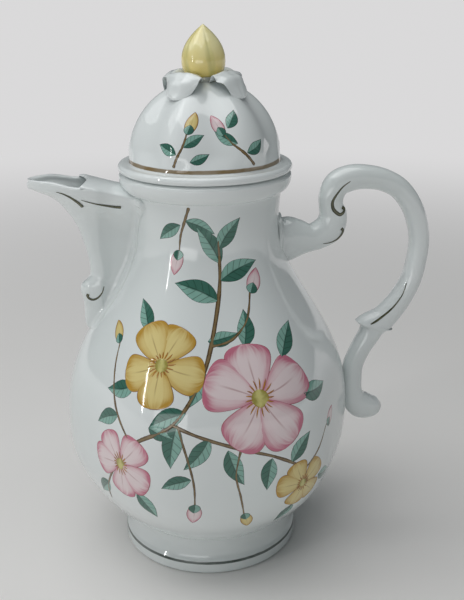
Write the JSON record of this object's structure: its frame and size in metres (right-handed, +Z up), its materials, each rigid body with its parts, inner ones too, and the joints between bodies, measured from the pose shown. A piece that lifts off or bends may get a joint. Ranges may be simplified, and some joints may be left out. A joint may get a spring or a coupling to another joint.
{
  "type": "coffee pot",
  "caption": "Lobed pear-shaped porcelain coffee pot with a beak spout, a scroll handle and a lift-off domed lid with a bud finial.",
  "frame": {"origin": "on the pot's upright axis, in the plane that the foot stands on", "axes": "+Z up, +X towards the handle, -X towards the spout, so the XZ plane halves the pot"},
  "size_m": [0.1887, 0.1308, 0.2497],
  "materials": {
    "body_glaze": "clear gloss glaze over painted blossoms",
    "foot_glaze": "clear gloss glaze with a dark green line",
    "rim_glaze": "clear gloss glaze",
    "spout_glaze": "clear gloss glaze with dark green strokes",
    "handle_glaze": "clear gloss glaze with dark green strokes",
    "lid_glaze": "clear gloss glaze over painted sprigs",
    "leaf_glaze": "clear gloss glaze",
    "bud_glaze": "gloss glaze over soft yellow"
  },
  "bodies": {
    "pot": {"body_shell": "body_glaze", "foot_ring": "foot_glaze", "rim_ring": "rim_glaze", "spout": "spout_glaze", "spout_bridge": "spout_glaze", "handle": "handle_glaze"},
    "lid": {"lid_dome": "lid_glaze", "lid_flange": "rim_glaze", "finial_calyx": "leaf_glaze", "finial_leaf_1": "leaf_glaze", "finial_leaf_2": "leaf_glaze", "finial_leaf_3": "leaf_glaze", "finial_leaf_4": "leaf_glaze", "finial_bud": "bud_glaze"}
  },
  "joints": [
    {"name": "lid_lift", "type": "slide", "parent": "pot", "child": "lid", "axis": [0, 0, 1], "range_m": [0, 0.06]}
  ]
}
